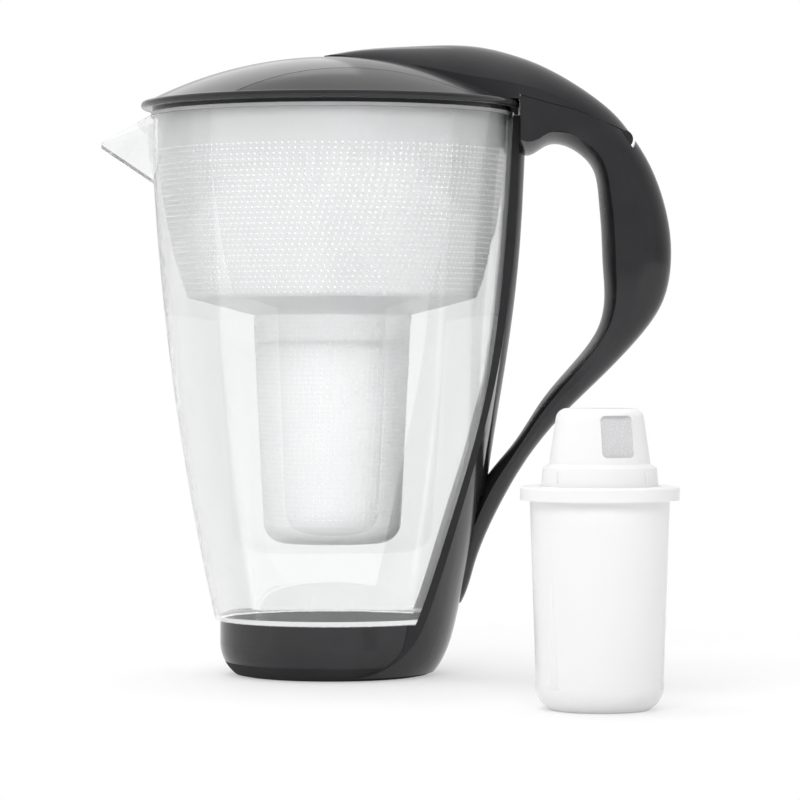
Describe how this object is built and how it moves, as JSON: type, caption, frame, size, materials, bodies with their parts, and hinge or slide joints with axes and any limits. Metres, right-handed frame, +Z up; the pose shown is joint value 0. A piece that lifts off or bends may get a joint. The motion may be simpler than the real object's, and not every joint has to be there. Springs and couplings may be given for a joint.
{
  "type": "water filter pitcher",
  "caption": "Clear water filter pitcher with a frosted hopper, a hinged flap lid over a looped handle, a fitted filter cartridge and a second one beside it.",
  "frame": {"origin": "centre of the foot's flat face, on the jug's own axis", "axes": "+Z up, +X towards the handle, -X towards the spout, -Y towards the standing cartridge"},
  "size_m": [0.2551, 0.2816, 0.2814],
  "materials": {
    "clear_plastic": "clear polished plastic",
    "frosted_plastic": "frosted plastic with a fine raised dot pattern",
    "dark_gloss": "polished charcoal plastic",
    "dark_inner": "polished near-black plastic",
    "pad_rubber": "matt soft rubber",
    "steel": "plain stainless steel",
    "white_plastic": "white moulded plastic, satin",
    "vent_grey": "fine grey mesh",
    "screen_white": "white filter fleece",
    "filter_granules": "loose carbon and resin granules"
  },
  "bodies": {
    "pitcher": {"jug": "clear_plastic", "base_cup": "dark_gloss", "base_pad": "pad_rubber", "handle_frame": "dark_gloss", "grip_cover": "dark_inner", "spine_cover": "dark_inner"},
    "hopper_body": {"hopper": "frosted_plastic"},
    "lid_body": {"lid_ring": "dark_gloss"},
    "flap": {"flap_panel": "dark_gloss", "lid_cover": "dark_gloss", "cover_screws": "steel", "hinge_pin": "steel"},
    "cartridge": {"filter_cup": "white_plastic", "filter_cap": "white_plastic", "vent_screens": "vent_grey", "top_screen": "screen_white", "bottom_screen": "screen_white", "filter_media": "filter_granules"},
    "spare_cartridge": {"spare_filter_cup": "white_plastic", "spare_filter_cap": "white_plastic", "spare_vent_screens": "vent_grey", "spare_top_screen": "screen_white", "spare_bottom_screen": "screen_white", "spare_filter_media": "filter_granules"}
  },
  "joints": [
    {"name": "hopper_lift", "type": "slide", "parent": "pitcher", "child": "hopper_body", "axis": [0, 0, 1], "range_m": [0, 0.2]},
    {"name": "lid_lift", "type": "slide", "parent": "hopper_body", "child": "lid_body", "axis": [0, 0, 1], "range_m": [0, 0.1]},
    {"name": "flap_hinge", "type": "hinge", "parent": "lid_body", "child": "flap", "pos_m": [0.1302, 0, 0.239], "axis": [0, 1, 0], "range_deg": [0, 70]},
    {"name": "cartridge_lift", "type": "slide", "parent": "hopper_body", "child": "cartridge", "axis": [0, 0, 1], "range_m": [0, 0.075]},
    {"name": "spare_cartridge_lift", "type": "slide", "parent": "pitcher", "child": "spare_cartridge", "axis": [0, 0, 1], "range_m": [0, 0.15]}
  ]
}
